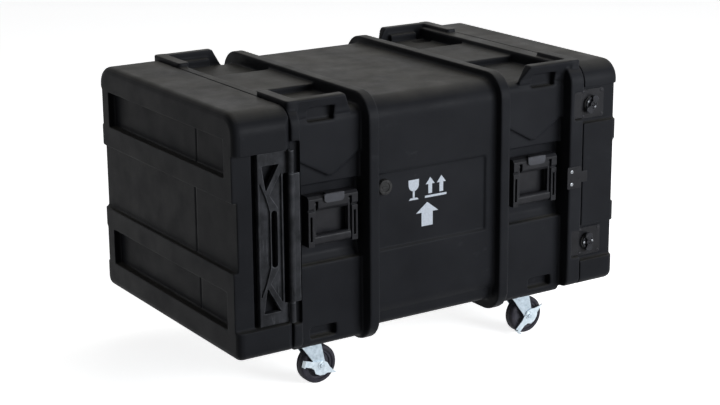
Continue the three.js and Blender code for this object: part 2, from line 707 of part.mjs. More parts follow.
// the two ends: the rear one is the front one turned half round
const endFrames = {};
const ends = [{ name: 'front', seam: frontSeam, depth: frontLidDepth, turn: 0 },
  { name: 'rear', seam: rearSeam, depth: rearLidDepth, turn: Math.PI }];
for (const end of ends) {
  const frame = new THREE.Group();
  frame.position.x = end.seam;
  frame.rotation.z = end.turn;
  group.add(frame);
  endFrames[end.name] = frame;
  addMesh(frame, `${end.name}_lid`, lidShell(end.depth), 'moulding_lid');
  addMesh(frame, `${end.name}_gasket`, gasketRing(), 'rubber');
  addMesh(frame, `${end.name}_hinge_bar`, trussBar(), 'nylon');
  addMesh(frame, `${end.name}_hinge_leaf`, hingeLeaf(), 'nylon');
  for (const [level, height] of [['lower', latchHeights[0]], ['upper', latchHeights[1]]]) {
    addMesh(frame, `${end.name}_${level}_latch_base`, latchBasePlate(height), 'latch');
    addMesh(frame, `${end.name}_${level}_latch_knob`, latchRotor(height), 'latch');
    addMesh(frame, `${end.name}_${level}_keeper`, latchKeeper(height), 'steel');
  }
}
addMesh(endFrames.rear, 'lid_guide_bracket', lidGuide(), 'steel');

for (const bay of handleBays) {
  for (const [side, turn] of [['left', 0], ['right', Math.PI]]) {
    const frame = new THREE.Group();
    frame.position.x = bay.centre;
    frame.rotation.z = turn;
    group.add(frame);
    addMesh(frame, `${bay.name}_${side}_handle_plate`, handlePlate(), 'handle');
    addMesh(frame, `${bay.name}_${side}_handle_bail`, handleBail(), 'handle');
  }
}

for (const [i, x] of casterPositions.entries()) {
  for (const [side, y] of [['left', -1], ['right', 1]]) {
    const name = `${i ? 'rear' : 'front'}_${side}`;
    const frame = new THREE.Group();
    frame.position.set(x, y * (halfWidth - casterInset), 0);
    group.add(frame);
    addMesh(frame, `${name}_caster_plate`, casterTopPlate(), 'zinc');
    addMesh(frame, `${name}_caster_fork`, casterFork(), 'zinc');
    addMesh(frame, `${name}_wheel`, casterWheel(), 'tyre');
    addMesh(frame, `${name}_brake_lever`, brakeLever(i ? 145 : 25), 'zinc');
  }
}

addMesh(group, 'rack_frame', rackFrame(), 'steel');
for (const [end, x, turn] of [['front', -1, 0], ['rear', 1, Math.PI]]) {
  for (const side of [-1, 1]) {
    const solid = side * Math.cos(turn) > 0 ? rackRail() : rackRail().mirror([0, 1, 0]);
    const mesh = addMesh(group, `${end}_${side < 0 ? 'left' : 'right'}_rack_rail`, solid, 'aluminium');
    mesh.position.x = frameCentre + x * (frameLength / 2 + fitGap + railThickness);
    mesh.rotation.z = turn;
  }
}

// shock mounts stand between the frame and the floor and roof of the body
const frameLow = rackMiddle - rackHeight / 2 - frameRise;
const frameHigh = rackMiddle + rackHeight / 2 + frameRise;
for (const [level, from, to] of [['lower', caseBottom + wall, frameLow], ['upper', frameHigh, bayTop - wall]]) {
  for (const end of [-1, 1]) {
    for (const side of [-1, 1]) {
      const name = `${end < 0 ? 'front' : 'rear'}_${side < 0 ? 'left' : 'right'}_${level}_shock_mount`;
      const mesh = addMesh(group, name, shockBlock(to - from - 2 * fitGap), 'rubber');
      mesh.position.set(frameCentre + end * shockMount.spread, side * shockMount.side, from + fitGap);
    }
  }
}

export default group;
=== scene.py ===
import json
import math

import bmesh
import bpy
from mathutils import Matrix, Vector

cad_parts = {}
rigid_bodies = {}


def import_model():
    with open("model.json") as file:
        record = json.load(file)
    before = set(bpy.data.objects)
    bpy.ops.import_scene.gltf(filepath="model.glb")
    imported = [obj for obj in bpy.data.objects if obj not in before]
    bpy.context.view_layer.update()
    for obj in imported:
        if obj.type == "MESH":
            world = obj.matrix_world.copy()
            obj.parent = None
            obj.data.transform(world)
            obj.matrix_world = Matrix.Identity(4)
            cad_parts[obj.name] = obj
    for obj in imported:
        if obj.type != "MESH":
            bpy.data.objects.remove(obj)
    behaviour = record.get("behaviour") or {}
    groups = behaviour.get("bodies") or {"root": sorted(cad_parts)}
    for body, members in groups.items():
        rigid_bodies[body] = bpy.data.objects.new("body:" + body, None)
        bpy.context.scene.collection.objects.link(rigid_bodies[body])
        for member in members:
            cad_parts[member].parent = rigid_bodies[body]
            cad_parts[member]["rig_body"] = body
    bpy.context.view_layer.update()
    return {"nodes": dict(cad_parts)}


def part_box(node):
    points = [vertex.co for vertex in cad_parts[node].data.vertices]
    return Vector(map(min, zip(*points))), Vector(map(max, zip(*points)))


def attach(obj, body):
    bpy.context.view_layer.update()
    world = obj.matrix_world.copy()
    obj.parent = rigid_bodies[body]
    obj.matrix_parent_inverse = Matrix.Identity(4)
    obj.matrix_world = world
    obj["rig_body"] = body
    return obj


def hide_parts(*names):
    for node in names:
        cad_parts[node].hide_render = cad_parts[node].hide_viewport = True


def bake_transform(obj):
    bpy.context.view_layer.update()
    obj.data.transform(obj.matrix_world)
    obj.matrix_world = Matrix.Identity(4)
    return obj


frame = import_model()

scene = bpy.context.scene
nodes = frame["nodes"]
bodyOf = {name: node["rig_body"] for name, node in nodes.items()}
mm = 0.001


def named(*ends):
    return sorted(name for name in nodes if name.endswith(ends))


def cornersOf(node):
    low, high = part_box(node)
    return Vector(low), Vector(high)


def centreOf(node):
    low, high = cornersOf(node)
    return (low + high) / 2


# small wrappers round the shader nodes, so that each finish below reads as a recipe
def startMaterial(name, **values):
    material = bpy.data.materials.new(name)
    material.use_nodes = True
    tree = material.node_tree
    shader = next(node for node in tree.nodes if node.type == "BSDF_PRINCIPLED")
    for socket, value in values.items():
        shader.inputs[socket.replace("_", " ")].default_value = value
    place = tree.nodes.new("ShaderNodeTexCoord").outputs["Object"]
    return material, tree, shader, place


def stretched(tree, place, scale, turn=(0, 0, 0)):
    mapping = tree.nodes.new("ShaderNodeMapping")
    mapping.inputs["Scale"].default_value = scale
    mapping.inputs["Rotation"].default_value = turn
    tree.links.new(place, mapping.inputs["Vector"])
    return mapping.outputs["Vector"]


def noise(tree, place, scale, detail=3.0, rough=0.5):
    node = tree.nodes.new("ShaderNodeTexNoise")
    node.inputs["Scale"].default_value = scale
    node.inputs["Detail"].default_value = detail
    node.inputs["Roughness"].default_value = rough
    tree.links.new(place, node.inputs["Vector"])
    return node.outputs["Fac"]


def spread(tree, value, low, high, fromLow=0.3, fromHigh=0.7):
    node = tree.nodes.new("ShaderNodeMapRange")
    limits = {"From Min": fromLow, "From Max": fromHigh, "To Min": low, "To Max": high}
    for socket, number in limits.items():
        node.inputs[socket].default_value = number
    tree.links.new(value, node.inputs["Value"])
    return node.outputs["Result"]


def maths(tree, operation, first, second):
    node = tree.nodes.new("ShaderNodeMath")
    node.operation = operation
    for socket, value in zip(node.inputs, (first, second)):
        if isinstance(value, (int, float)):
            socket.default_value = value
        else:
            tree.links.new(value, socket)
    return node.outputs[0]


def blendColours(tree, factor, first, second):
    node = tree.nodes.new("ShaderNodeMix")
    node.data_type = "RGBA"
    tree.links.new(factor, node.inputs["Factor"])
    for socket, value in ((node.inputs[6], first), (node.inputs[7], second)):
        if isinstance(value, tuple):
            socket.default_value = (*value, 1)
        else:
            tree.links.new(value, socket)
    return node.outputs[2]


# each layer is a height, its strength and its depth in metres
def addBump(tree, shader, layers):
    normal = None
    for height, strength, distance in layers:
        node = tree.nodes.new("ShaderNodeBump")
        node.inputs["Strength"].default_value = strength
        node.inputs["Distance"].default_value = distance
        tree.links.new(height, node.inputs["Height"])
        if normal:
            tree.links.new(normal, node.inputs["Normal"])
        normal = node.outputs["Normal"]
    tree.links.new(normal, shader.inputs["Normal"])


def upward(tree):
    geometry = tree.nodes.new("ShaderNodeNewGeometry")
    split = tree.nodes.new("ShaderNodeSeparateXYZ")
    tree.links.new(geometry.outputs["Normal"], split.inputs[0])
    return split.outputs["Z"]


def edges(tree, low, high):
    geometry = tree.nodes.new("ShaderNodeNewGeometry")
    return spread(tree, geometry.outputs["Pointiness"], 0, 1, low, high)


mouldedLook = {
    "dark": (0.0115, 0.0120, 0.0140), "light": (0.0165, 0.0172, 0.0198),
    "dust": (0.052, 0.050, 0.045), "scuff": (0.062, 0.064, 0.070), "shine": 0.035,
    "roughLow": 0.36, "roughHigh": 0.54, "dustRough": 0.06, "roughScale": 14,
    "mottleScale": 9, "dustScale": 5.5, "dustLow": 0.25, "dustHigh": 0.95,
    "streakScale": 3, "streakStretch": (6, 60, 14), "streakTurn": (0.2, 0.1, 0.5),
    "streakPatch": 4, "streakMost": 0.3, "rubScale": 30, "rubMost": 0.42,
    "peelScale": 26, "peel": 0.0006, "grainScale": 1100, "grain": 0.00022, "streakDepth": 0.0001,
}


def mouldedPlastic(name, tint=1.0, look=mouldedLook):
    material, tree, shader, place = startMaterial(name, Specular_IOR_Level=look["shine"])
    mottle = spread(tree, noise(tree, place, look["mottleScale"], 5), 0, 1)
    dark, light = (tuple(part * tint for part in look[tone]) for tone in ("dark", "light"))
    colour = blendColours(tree, mottle, dark, light)
    # dust lies in clouds on what faces up
    level = spread(tree, upward(tree), 0, 1, 0.55, 0.98)
    clouds = spread(tree, noise(tree, place, look["dustScale"], 6, 0.62), look["dustLow"], look["dustHigh"],
                    0.36, 0.66)
    dusty = maths(tree, "MULTIPLY", level, clouds)
    colour = blendColours(tree, dusty, colour, look["dust"])
    # long scuffs come in patches, and the edges are rubbed
    along = stretched(tree, place, look["streakStretch"], look["streakTurn"])
    streaks = spread(tree, noise(tree, along, look["streakScale"], 7, 0.7), 0, 1, 0.6, 0.76)
    patches = spread(tree, noise(tree, place, look["streakPatch"], 2), 0, look["streakMost"], 0.45, 0.7)
    worn = maths(tree, "MULTIPLY", streaks, patches)
    rims = edges(tree, 0.515, 0.57)
    rubbed = maths(tree, "MULTIPLY", rims,
                   spread(tree, noise(tree, place, look["rubScale"], 5), 0, look["rubMost"], 0.42, 0.7))
    colour = blendColours(tree, maths(tree, "MAXIMUM", worn, rubbed), colour, look["scuff"])
    tree.links.new(colour, shader.inputs["Base Color"])
    rough = spread(tree, noise(tree, place, look["roughScale"], 5, 0.6), look["roughLow"], look["roughHigh"])
    duller = maths(tree, "MULTIPLY", dusty, look["dustRough"])
    tree.links.new(maths(tree, "ADD", rough, duller), shader.inputs["Roughness"])
    addBump(tree, shader, [(noise(tree, place, look["peelScale"], 2), 0.3, look["peel"]),
                           (noise(tree, place, look["grainScale"], 3, 0.6), 0.5, look["grain"]),
                           (streaks, 0.12, look["streakDepth"])])
    return material


# worn is the colour of the scratches and of the painted highlights on the bar's ridges
nylonLook = {
    "dark": (0.009, 0.0095, 0.011), "light": (0.042, 0.043, 0.048), "worn": (0.19, 0.195, 0.21),
    "shine": 0.08, "rough": (0.42, 0.62), "roughScale": 60, "patchScale": 22,
    "scratchScale": 2.2, "scratchStretch": (80, 80, 9), "scratchTurn": (0.3, 0.5, 0), "scratchMost": 0.3,
    "scratchDepth": 0.0002, "ridgeScale": 55, "grainScale": 420, "grain": 0.0003,
}


def nylon(name, look=nylonLook):
    material, tree, shader, place = startMaterial(name, Specular_IOR_Level=look["shine"])
    patches = spread(tree, noise(tree, place, look["patchScale"], 6, 0.65), 0, 1, 0.38, 0.7)
    colour = blendColours(tree, patches, look["dark"], look["light"])
    along = stretched(tree, place, look["scratchStretch"], look["scratchTurn"])
    scratches = spread(tree, noise(tree, along, look["scratchScale"], 8, 0.75), 0, 1, 0.56, 0.7)
    # the ridges are lightened: partly rubbed wear, partly a painted highlight where they catch the light
    rims = edges(tree, 0.51, 0.56)
    ridgeWearAndHighlight = maths(tree, "MULTIPLY", rims, spread(tree, noise(tree, place, look["ridgeScale"], 5), 0.1, 0.85))
    worn = maths(tree, "MAXIMUM", maths(tree, "MULTIPLY", scratches, look["scratchMost"]), ridgeWearAndHighlight)
    colour = blendColours(tree, worn, colour, look["worn"])
    tree.links.new(colour, shader.inputs["Base Color"])
    rough = spread(tree, noise(tree, place, look["roughScale"], 4), *look["rough"])
    tree.links.new(rough, shader.inputs["Roughness"])
    addBump(tree, shader, [(noise(tree, place, look["grainScale"], 4, 0.6), 0.4, look["grain"]),
                           (scratches, 0.25, look["scratchDepth"])])
    return material


handleLook = {
    "dark": 0.012, "light": 0.02, "darkBlue": 1.15, "lightBlue": 1.12, "rubbed": (0.07, 0.072, 0.082),
    "rough": (0.3, 0.46), "roughScale": 90, "shine": 0.09, "worn": 0.8, "wornLow": 0.2, "wornScale": 70,
    "mottleScale": 40, "grainScale": 1500, "grain": 0.00012,
}
tabLook = {**handleLook, "dark": 0.03, "light": 0.05, "rough": (0.3, 0.42), "shine": 0.14, "worn": 0.9}
latchLook = {**handleLook, "dark": 0.010, "light": 0.017, "rough": (0.26, 0.42), "worn": 0.5}


def satinPlastic(name, look):
    material, tree, shader, place = startMaterial(name, Specular_IOR_Level=look["shine"])
    dark, light = look["dark"], look["light"]
    colour = blendColours(tree, spread(tree, noise(tree, place, look["mottleScale"], 4), 0, 1),
                          (dark, dark, dark * look["darkBlue"]), (light, light, light * look["lightBlue"]))
    rims = edges(tree, 0.51, 0.58)
    rubbed = maths(tree, "MULTIPLY", rims,
                   spread(tree, noise(tree, place, look["wornScale"], 4), look["wornLow"], look["worn"]))
    colour = blendColours(tree, rubbed, colour, look["rubbed"])
    tree.links.new(colour, shader.inputs["Base Color"])
    rough = spread(tree, noise(tree, place, look["roughScale"], 5), *look["rough"])
    tree.links.new(rough, shader.inputs["Roughness"])
    addBump(tree, shader, [(noise(tree, place, look["grainScale"], 2), 0.3, look["grain"])])
    return material


# the forks and plates take this darker zinc as painted shade under the case; the levers take a lighter, lit copy of
# the same zinc
shadedZincLook = {
    "dull": (0.30, 0.36, 0.41), "bright": (0.50, 0.57, 0.62), "stain": (0.14, 0.17, 0.19),
    "metallic": 0.75, "rough": (0.28, 0.5), "roughScale": 160, "toneScale": 90, "stainScale": 60,
    "stainMost": 0.8, "brushStretch": (40, 900, 40), "brush": 0.0001, "dentScale": 240, "dent": 0.0004,
}
litZincLook = {**shadedZincLook, "dull": (0.42, 0.49, 0.54), "bright": (0.62, 0.69, 0.74), "stain": (0.2, 0.24, 0.26)}
screwLook = {**shadedZincLook, "dull": (0.2, 0.21, 0.22), "bright": (0.42, 0.43, 0.45), "stain": (0.1, 0.1, 0.1)}


def zincPlate(name, look=shadedZincLook):
    material, tree, shader, place = startMaterial(name, Metallic=look["metallic"])
    tone = spread(tree, noise(tree, place, look["toneScale"], 5, 0.6), 0, 1)
    colour = blendColours(tree, tone, look["dull"], look["bright"])
    stain = spread(tree, noise(tree, place, look["stainScale"], 7, 0.7), 0, look["stainMost"], 0.56, 0.72)
    colour = blendColours(tree, stain, colour, look["stain"])
    tree.links.new(colour, shader.inputs["Base Color"])
    rough = spread(tree, noise(tree, place, look["roughScale"], 4), *look["rough"])
    tree.links.new(rough, shader.inputs["Roughness"])
    brushed = noise(tree, stretched(tree, place, look["brushStretch"]), 1, 3)
    addBump(tree, shader, [(noise(tree, place, look["dentScale"], 3), 0.3, look["dent"]),
                           (brushed, 0.15, look["brush"])])
    return material


tyreLook = {
    "low": (0.012, 0.011, 0.016), "high": (0.026, 0.024, 0.034), "grime": (0.05, 0.047, 0.05),
    "shine": 0.25, "rough": (0.55, 0.8), "roughScale": 120, "toneScale": 70, "grimeScale": 25,
    "grimeMost": 0.5, "grainScale": 800, "grain": 0.0002,
}
wheelCoreLook = {**tyreLook, "low": (0.03, 0.029, 0.038), "high": (0.05, 0.048, 0.06),
                 "grime": (0.07, 0.068, 0.075)}
gasketLook = {**tyreLook, "low": (0.006, 0.006, 0.006), "high": (0.010, 0.010, 0.010),
              "grime": (0.015, 0.015, 0.015)}
bushLook = {**tyreLook, "low": (0.008, 0.008, 0.008), "high": (0.014, 0.014, 0.014),
            "grime": (0.02, 0.02, 0.02)}


def softRubber(name, look):
    material, tree, shader, place = startMaterial(name, Specular_IOR_Level=look["shine"])
    tone = spread(tree, noise(tree, place, look["toneScale"], 6, 0.65), 0, 1)
    colour = blendColours(tree, tone, look["low"], look["high"])
    dirt = spread(tree, noise(tree, place, look["grimeScale"], 5, 0.7), 0, look["grimeMost"], 0.5, 0.72)
    colour = blendColours(tree, dirt, colour, look["grime"])
    tree.links.new(colour, shader.inputs["Base Color"])
    rough = spread(tree, noise(tree, place, look["roughScale"], 4), *look["rough"])
    tree.links.new(rough, shader.inputs["Roughness"])
    addBump(tree, shader, [(noise(tree, place, look["grainScale"], 3), 0.4, look["grain"])])
    return material


frameLook = {
    "base": (0.010, 0.010, 0.011), "lighter": 1.7, "metallic": 0.0, "shine": 0.3,
    "rough": (0.36, 0.52), "roughScale": 200, "toneScale": 60, "grainScale": 1800, "grain": 0.00025,
}
railLook = {**frameLook, "base": (0.42, 0.43, 0.45), "metallic": 0.8}
darkSteelLook = {**frameLook, "base": (0.012, 0.012, 0.014), "metallic": 0.6}


def powderCoat(name, look):
    material, tree, shader, place = startMaterial(name, Metallic=look["metallic"],
                                                  Specular_IOR_Level=look["shine"])
    colour = blendColours(tree, spread(tree, noise(tree, place, look["toneScale"], 5), 0, 1), look["base"],
                          tuple(part * look["lighter"] for part in look["base"]))
    tree.links.new(colour, shader.inputs["Base Color"])
    rough = spread(tree, noise(tree, place, look["roughScale"], 4), *look["rough"])
    tree.links.new(rough, shader.inputs["Roughness"])
    addBump(tree, shader, [(noise(tree, place, look["grainScale"], 2), 0.5, look["grain"])])
    return material


inkLook = {
    "fresh": (0.60, 0.64, 0.70), "faded": (0.46, 0.50, 0.55), "shine": 0.3, "rough": (0.5, 0.7),
    "roughScale": 300, "wearScale": 240, "grainScale": 1100, "grain": 0.0001,
}


def printInk(name, look=inkLook):
    material, tree, shader, place = startMaterial(name, Specular_IOR_Level=look["shine"])
    wear = spread(tree, noise(tree, place, look["wearScale"], 6, 0.7), 0, 1, 0.35, 0.72)
    tree.links.new(blendColours(tree, wear, look["fresh"], look["faded"]), shader.inputs["Base Color"])
    rough = spread(tree, noise(tree, place, look["roughScale"], 3), *look["rough"])
    tree.links.new(rough, shader.inputs["Roughness"])
    addBump(tree, shader, [(noise(tree, place, look["grainScale"], 3), 0.3, look["grain"])])
    return material


bodyPlastic = mouldedPlastic("moulded_body_plastic")
lidPlastic = mouldedPlastic("moulded_lid_plastic", 0.9)
barNylon = nylon("scuffed_bar_nylon_painted_highlights")
handlePlastic = satinPlastic("handle_plastic", handleLook)
tabPlastic = satinPlastic("handle_tab_plastic", tabLook)
latchPlastic = satinPlastic("latch_plastic", latchLook)
# zinc is the copy darkened as painted shade, for the forks and plates; the lever's copy is the lit one
zinc = zincPlate("zinc_steel_painted_shade")
litLeverZinc = zincPlate("zinc_steel_painted_lit", litZincLook)
tyreRubber = softRubber("tyre_rubber", tyreLook)
wheelCore = softRubber("wheel_core_plastic", wheelCoreLook)
gasketRubber = softRubber("gasket_rubber", gasketLook)
mountRubber = softRubber("shock_mount_rubber", bushLook)
blackSteel = powderCoat("black_powder_coat", frameLook)
railMetal = powderCoat("anodised_rail", railLook)
screwSteel = zincPlate("screw_steel", screwLook)
darkSteel = powderCoat("blackened_steel", darkSteelLook)
whiteInk = printInk("white_print")
print("finishes made")


# angles in degrees, place in metres, lens and sensor in millimetres
cameraPlace = {"azimuth": -32.799, "elevation": 15.001, "roll": -0.424, "place": (-2.1392, -3.3195, 1.4482),
               "lens": 87.145, "sensor": 36, "shiftX": 0.00053, "shiftY": -0.04103, "farthest": 60}


def makeCamera():
    data = bpy.data.cameras.new("camera")
    data.lens = cameraPlace["lens"]
    data.sensor_width = cameraPlace["sensor"]
    data.shift_x = cameraPlace["shiftX"]
    data.shift_y = cameraPlace["shiftY"]
    data.clip_end = cameraPlace["farthest"]
    camera = bpy.data.objects.new("camera", data)
    scene.collection.objects.link(camera)
    camera.location = cameraPlace["place"]
    around, above = math.radians(cameraPlace["azimuth"]), math.radians(cameraPlace["elevation"])
    look = Vector((-math.sin(around) * math.cos(above), math.cos(around) * math.cos(above), -math.sin(above)))
    roll = Matrix.Rotation(math.radians(cameraPlace["roll"]), 3, "Z")
    camera.rotation_euler = (look.to_track_quat("-Z", "Y").to_matrix() @ roll).to_euler()
    scene.camera = camera


lamps = {
    "overhead": {"size": (3.0, 2.4), "place": (1.1, 0.9, 2.9), "aim": (0.1, 0, 0.4), "power": 29,
                 "colour": (1, 0.985, 0.95)},
    "side": {"size": (2.6, 1.6), "place": (1.9, -3.8, 1.35), "aim": (0, 0, 0.35), "power": 176,
             "colour": (0.93, 0.96, 1)},
    "end": {"size": (1.4, 1.8), "place": (-3.4, 0.2, 1.7), "aim": (-0.4, 0, 0.4), "power": 0.3,
            "colour": (1, 1, 1)},
}


def makeLamps():
    for name, lamp in lamps.items():
        data = bpy.data.lights.new("lamp_" + name, "AREA")
        data.shape = "RECTANGLE"
        data.size, data.size_y = lamp["size"]
        data.energy = lamp["power"]
        data.color = lamp["colour"]
        item = bpy.data.objects.new("lamp_" + name, data)
        scene.collection.objects.link(item)
        item.location = lamp["place"]
        aim = Vector(lamp["aim"]) - Vector(lamp["place"])
        item.rotation_euler = aim.to_track_quat("-Z", "Y").to_euler()


room = {"colour": (0.9, 0.95, 1, 1), "light": 0.06, "backdrop": (1, 1, 1, 1), "backdropLight": 1}


# the room lights the case softly, and what the camera and reflections see of it is white
def makeWorld():
    world = bpy.data.worlds.new("pale_room")
    scene.world = world
    world.use_nodes = True
    tree = world.node_tree
    tree.nodes.clear()
    path = tree.nodes.new("ShaderNodeLightPath")
    seen = maths(tree, "ADD", maths(tree, "ADD", path.outputs["Is Camera Ray"], path.outputs["Is Glossy Ray"]),
                 path.outputs["Is Transmission Ray"])
    soft = tree.nodes.new("ShaderNodeBackground")
    soft.inputs["Color"].default_value = room["colour"]
    soft.inputs["Strength"].default_value = room["light"]
    backdrop = tree.nodes.new("ShaderNodeBackground")
    backdrop.inputs["Color"].default_value = room["backdrop"]
    backdrop.inputs["Strength"].default_value = room["backdropLight"]
    mix = tree.nodes.new("ShaderNodeMixShader")
    tree.links.new(maths(tree, "MINIMUM", seen, 1.0), mix.inputs[0])
    tree.links.new(soft.outputs[0], mix.inputs[1])
    tree.links.new(backdrop.outputs[0], mix.inputs[2])
    output = tree.nodes.new("ShaderNodeOutputWorld")
    tree.links.new(mix.outputs[0], output.inputs[0])


floorLook = {"size": 40, "below": 0.0005, "colour": (0.92, 0.92, 0.92, 1), "rough": 0.9, "shine": 0.1,
             "glow": 0.85, "bounce": (0.3, 0.3, 0.3, 1)}


# a pale floor that keeps the shadow and throws little light back up
def makeFloor():
    bpy.ops.mesh.primitive_plane_add(size=floorLook["size"], location=(0, 0, -floorLook["below"]))
    floor = bpy.context.object
    floor.name = "floor"
    material = bpy.data.materials.new("pale_floor")
    material.use_nodes = True
    tree = material.node_tree
    shader = next(node for node in tree.nodes if node.type == "BSDF_PRINCIPLED")
    shader.inputs["Base Color"].default_value = floorLook["colour"]
    shader.inputs["Roughness"].default_value = floorLook["rough"]
    shader.inputs["Specular IOR Level"].default_value = floorLook["shine"]
    path = tree.nodes.new("ShaderNodeLightPath")
    glow = tree.nodes.new("ShaderNodeEmission")
    glow.inputs["Strength"].default_value = floorLook["glow"]
    both = tree.nodes.new("ShaderNodeAddShader")
    mix = tree.nodes.new("ShaderNodeMixShader")
    output = next(node for node in tree.nodes if node.type == "OUTPUT_MATERIAL")
    tree.links.new(shader.outputs[0], both.inputs[0])
    tree.links.new(glow.outputs[0], both.inputs[1])
    seen = maths(tree, "ADD", path.outputs["Is Camera Ray"], path.outputs["Is Glossy Ray"])
    tree.links.new(maths(tree, "MINIMUM", seen, 1.0), mix.inputs[0])
    bounce = tree.nodes.new("ShaderNodeBsdfDiffuse")
    bounce.inputs["Color"].default_value = floorLook["bounce"]
    tree.links.new(bounce.outputs[0], mix.inputs[1])
    tree.links.new(both.outputs[0], mix.inputs[2])
    tree.links.new(mix.outputs[0], output.inputs[0])
    floor.data.materials.append(material)


scene.view_settings.view_transform = "Standard"
makeCamera()
makeLamps()
makeWorld()
makeFloor()
print("camera, lamps and floor placed")


# a piece with no body here is left unattached
def makeObject(name, mesh, material, body, stands=()):
    item = bpy.data.objects.new(name, mesh)
    scene.collection.objects.link(item)
    item.data.materials.clear()
    item.data.materials.append(material)
    if body:
        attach(item, body)
    if stands:
        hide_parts(*stands)
    return item


# edges that turn by more than smooth, in degrees, stay sharp
def fromBmesh(name, bm, material, body, stands=(), smooth=35):
    mesh = bpy.data.meshes.new(name)
    bmesh.ops.recalc_face_normals(bm, faces=bm.faces)
    for edge in bm.edges:
        edge.smooth = len(edge.link_faces) == 2 and edge.calc_face_angle(4) < math.radians(smooth)
    for face in bm.faces:
        face.smooth = True
    bm.to_mesh(mesh)
    bm.free()
    return makeObject(name, mesh, material, body, stands)


def applyAll(item):
    graph = bpy.context.evaluated_depsgraph_get()
    mesh = bpy.data.meshes.new_from_object(item.evaluated_get(graph))
    item.modifiers.clear()
    old = item.data
    item.data = mesh
    bpy.data.meshes.remove(old)


moulding = {"pull": 0.5, "flatWeight": 60}


# a moulded copy of a node: remeshed so that its edges can be rounded off, then thinned where it is flat
def mouldedCopy(node, material, voxel, rounds, faces):
    mesh = nodes[node].data.copy()
    mesh.name = node + "_moulded"
    item = makeObject(node + "_moulded", mesh, material, bodyOf[node], (node,))
    for polygon in mesh.polygons:
        polygon.material_index = 0
    remesh = item.modifiers.new("remesh", "REMESH")
    remesh.mode = "VOXEL"
    remesh.voxel_size = voxel
    remesh.use_smooth_shade = True
    smooth = item.modifiers.new("round_edges", "SMOOTH")
    smooth.factor = moulding["pull"]
    smooth.iterations = rounds
    applyAll(item)
    triangles = 2 * len(item.data.polygons)
    if triangles > faces:
        thin = item.modifiers.new("thin_flats", "DECIMATE")
        thin.ratio = faces / triangles
    even = item.modifiers.new("even_normals", "WEIGHTED_NORMAL")
    even.weight = moulding["flatWeight"]
    applyAll(item)
    item.data.materials.clear()
    item.data.materials.append(material)


def inMetres(points):
    return [(across * mm, along * mm) for across, along in points]


def circle(radius, count):
    turns = [2 * math.pi * k / count for k in range(count)]
    return [(radius * math.cos(turn), radius * math.sin(turn)) for turn in turns]


# a band of faces between two rings of the same count
def addBand(bm, first, second):
    for k in range(len(first)):
        after = (k + 1) % len(first)
        bm.faces.new([first[k], first[after], second[after], second[k]])


# turns a profile of (radius, height), in millimetres, about local Z
def addLathe(bm, profile, segments, place=Matrix()):
    rings = []
    for radius, height in inMetres(profile):
        if radius == 0:  # on the axis, one point stands for the ring
            rings.append([bm.verts.new(place @ Vector((0, 0, height)))])
        else:
            rings.append([bm.verts.new(place @ Vector((x, y, height))) for x, y in circle(radius, segments)])
    for low, high in zip(rings, rings[1:]):
        for k in range(segments):
            after = (k + 1) % segments
            corners = [low[k % len(low)], low[after % len(low)], high[after % len(high)], high[k % len(high)]]
            bm.faces.new(list(dict.fromkeys(corners)))


# an outline of (x, y), in millimetres, with thickness along local Z and a small bevel on its rim
def addPrism(bm, outline, low, high, place=Matrix(), bevel=0.0):
    points = [Vector(point) for point in inMetres(outline)]
    layers = [(low, 0.0), (high - bevel, 0.0)] + ([(high, bevel)] if bevel else [])
    centre = sum(points, Vector((0, 0))) / len(points)
    rings = []
    for height, inset in inMetres(layers):
        ring = []
        for point in points:
            reach = (point - centre).length
            flat = centre + (point - centre) * ((reach - inset) / reach)
            ring.append(bm.verts.new(place @ Vector((flat.x, flat.y, height))))
        rings.append(ring)
    for first, second in zip(rings, rings[1:]):
        addBand(bm, first, second)
    bm.faces.new(list(reversed(rings[0])))
    bm.faces.new(rings[-1])


# a place with its Z along a direction
def facing(at, direction, turn=0.0):
    lean = Vector(direction).to_track_quat("Z", "Y").to_matrix().to_4x4()
    return Matrix.Translation(at) @ lean @ Matrix.Rotation(turn, 4, "Z")


# a place with its X, Y and Z along three directions
def axesAt(at, x, y, z):
    return Matrix.Translation(at) @ Matrix((x, y, z)).transposed().to_4x4()


# rings are shares of the head's radius; from ring crossFrom inwards the cross is cut
screw = {"rings": (1.0, 1.0, 0.93, 0.8, 0.62, 0.48, 0.36, 0.25, 0.14), "dome": 0.0016, "flat": 0.45,
         "fall": 0.98, "cross": 0.1875, "crossFrom": 3, "crossReach": 0.62, "crossDepth": 0.0008,
         "turn": 0.4, "segments": 28}


# pan heads with a cross recess, all of one body in one piece
def makeScrews(name, body, heads, material=None):
    bm = bmesh.new()
    for at, direction, radius in heads:
        place = facing(at, direction, screw["turn"])
        rings = []
        for i, share in enumerate(screw["rings"]):
            bulge = screw["flat"] + (1 - screw["flat"]) * math.sqrt(max(0, 1 - (share * screw["fall"]) ** 2))
            ring = []
            for x, y in circle(radius * share, screw["segments"]):
                height = 0 if i == 0 else screw["dome"] * bulge
                narrow = min(abs(x), abs(y)) < screw["cross"] * radius
                if i >= screw["crossFrom"] and narrow and share < screw["crossReach"]:
                    height -= screw["crossDepth"]
                ring.append(bm.verts.new(place @ Vector((x, y, height))))
            rings.append(ring)
        for low, high in zip(rings, rings[1:]):
            addBand(bm, low, high)
        bm.faces.new(rings[-1])
    fromBmesh(name, bm, material or screwSteel, body, smooth=50)


shells = {
    "body_shell": {"finish": bodyPlastic, "slot": "moulded_body", "voxel": 2.5, "rounds": 4, "faces": 190000},
    "front_lid": {"finish": lidPlastic, "slot": "moulded_lid", "voxel": 2.0, "rounds": 4, "faces": 120000},
    "rear_lid": {"finish": lidPlastic, "slot": "moulded_lid", "voxel": 2.0, "rounds": 4, "faces": 110000},
}
coarser = 1
for node, shell in shells.items():
    mouldedCopy(node, shell["finish"], shell["voxel"] * coarser * mm, shell["rounds"] // coarser,
                shell["faces"])
    print(node, "moulded")

